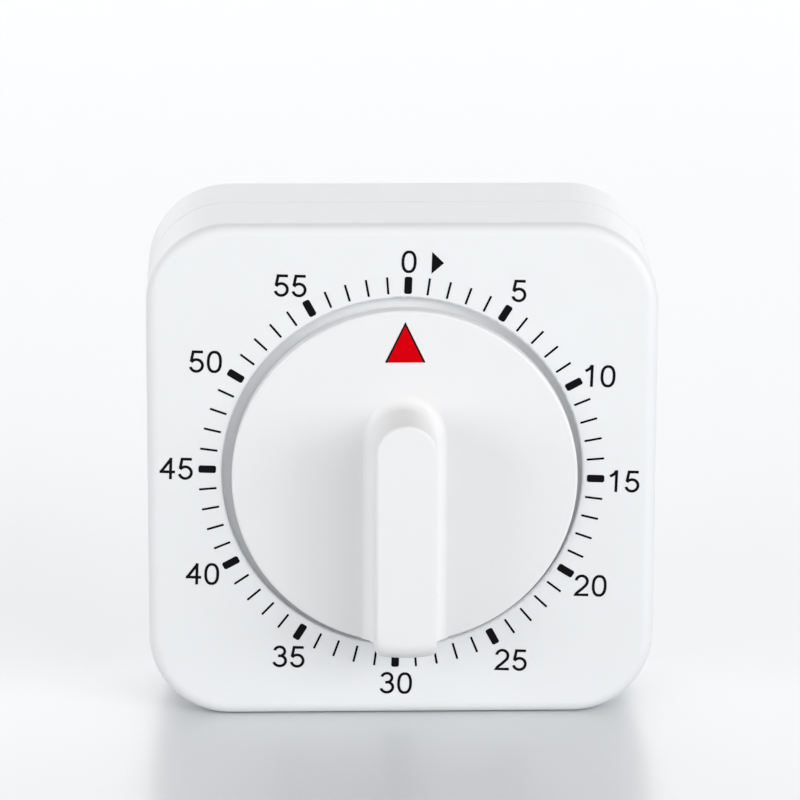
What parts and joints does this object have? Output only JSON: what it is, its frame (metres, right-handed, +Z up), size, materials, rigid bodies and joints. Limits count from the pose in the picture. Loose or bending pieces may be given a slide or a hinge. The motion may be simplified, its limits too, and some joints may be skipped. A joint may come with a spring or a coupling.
{
  "type": "lab timer",
  "caption": "Square free-standing mechanical minute timer with a rounded two-shell case, a round dial with a bar grip, a wheel train and a bell.",
  "frame": {"origin": "middle of the case's flat bottom face, half way through its depth", "axes": "+Z up, the dial faces -Y, +X to the right as the dial is read"},
  "size_m": [0.08, 0.0437, 0.08],
  "materials": {
    "case_plastic": "satin",
    "dial_plastic": "satin",
    "pointer_red": "satin",
    "plated_steel": "satin",
    "bell_steel": "polished",
    "arbor_steel": "polished",
    "brass": "satin",
    "spring_steel": "satin",
    "pressed_steel": "satin",
    "acetal": "matte"
  },
  "bodies": {
    "case": {"front_shell": "case_plastic", "back_cover": "case_plastic", "case_screws": "plated_steel", "front_plate": "plated_steel", "rear_plate": "plated_steel", "plate_pillars": "plated_steel", "pillar_nuts": "plated_steel", "movement_screws": "plated_steel", "stop_pin": "plated_steel", "lever_stud": "plated_steel", "bell": "bell_steel", "bell_post": "plated_steel", "bell_screw": "plated_steel"},
    "dial": {"dial_knob": "dial_plastic", "pointer_inlay": "pointer_red", "main_arbor": "arbor_steel", "main_wheel": "brass", "clutch_spring": "spring_steel", "clutch_collar": "brass", "release_cam": "pressed_steel", "stop_finger": "pressed_steel"},
    "second_wheel_set": {"second_arbor": "arbor_steel", "second_pinion": "arbor_steel", "second_wheel": "brass"},
    "third_wheel_set": {"third_arbor": "arbor_steel", "third_pinion": "arbor_steel", "third_wheel": "brass"},
    "escape_wheel_set": {"escape_arbor": "arbor_steel", "escape_pinion": "acetal", "escape_wheel": "acetal"},
    "balance": {"pallet_arbor": "arbor_steel", "pallet_anchor": "pressed_steel", "pallet_pins": "arbor_steel", "balance_weight": "brass"},
    "barrel_set": {"spring_barrel": "brass", "barrel_cover": "brass", "mainspring": "spring_steel"},
    "strike_wheel_set": {"strike_arbor": "arbor_steel", "strike_pinion": "arbor_steel", "strike_star": "brass"},
    "hammer": {"hammer_arbor": "arbor_steel", "hammer_verge": "pressed_steel", "hammer_arm": "pressed_steel", "hammer_head": "brass"},
    "release_lever_body": {"release_lever": "pressed_steel"}
  },
  "joints": [
    {"name": "dial_turn", "type": "hinge", "parent": "case", "child": "dial", "pos_m": [0.00038, 0, 0.0395], "axis": [0, 1, 0], "range_deg": [0, 350]},
    {"name": "second_wheel_spin", "type": "hinge", "parent": "case", "child": "second_wheel_set", "pos_m": [-0.01273, 0, 0.03032], "axis": [0, 1, 0], "continuous": true},
    {"name": "third_wheel_spin", "type": "hinge", "parent": "case", "child": "third_wheel_set", "pos_m": [-0.02303, 0, 0.03627], "axis": [0, 1, 0], "continuous": true},
    {"name": "escape_wheel_spin", "type": "hinge", "parent": "case", "child": "escape_wheel_set", "pos_m": [-0.02126, 0, 0.04632], "axis": [0, 1, 0], "continuous": true},
    {"name": "balance_swing", "type": "hinge", "parent": "case", "child": "balance", "pos_m": [-0.01786, 0, 0.05221], "axis": [0, 1, 0], "range_deg": [-8, 8]},
    {"name": "barrel_turn", "type": "hinge", "parent": "case", "child": "barrel_set", "pos_m": [0.00038, 0, 0.0395], "axis": [0, 1, 0], "continuous": true},
    {"name": "strike_wheel_spin", "type": "hinge", "parent": "case", "child": "strike_wheel_set", "pos_m": [0.01349, 0, 0.03032], "axis": [0, 1, 0], "continuous": true},
    {"name": "hammer_swing", "type": "hinge", "parent": "case", "child": "hammer", "pos_m": [0.01749, 0, 0.02339], "axis": [0, 1, 0], "range_deg": [0, 9]},
    {"name": "release_lever_drop", "type": "hinge", "parent": "case", "child": "release_lever_body", "pos_m": [0.00117, 0, 0.05575], "axis": [0, 1, 0], "range_deg": [0, 5]}
  ],
  "couplings": [
    {"joint": "second_wheel_spin", "follows": "dial_turn", "ratio": -9},
    {"joint": "third_wheel_spin", "follows": "dial_turn", "ratio": 67.5},
    {"joint": "escape_wheel_spin", "follows": "dial_turn", "ratio": -506.25},
    {"joint": "strike_wheel_spin", "follows": "barrel_turn", "ratio": -9}
  ]
}
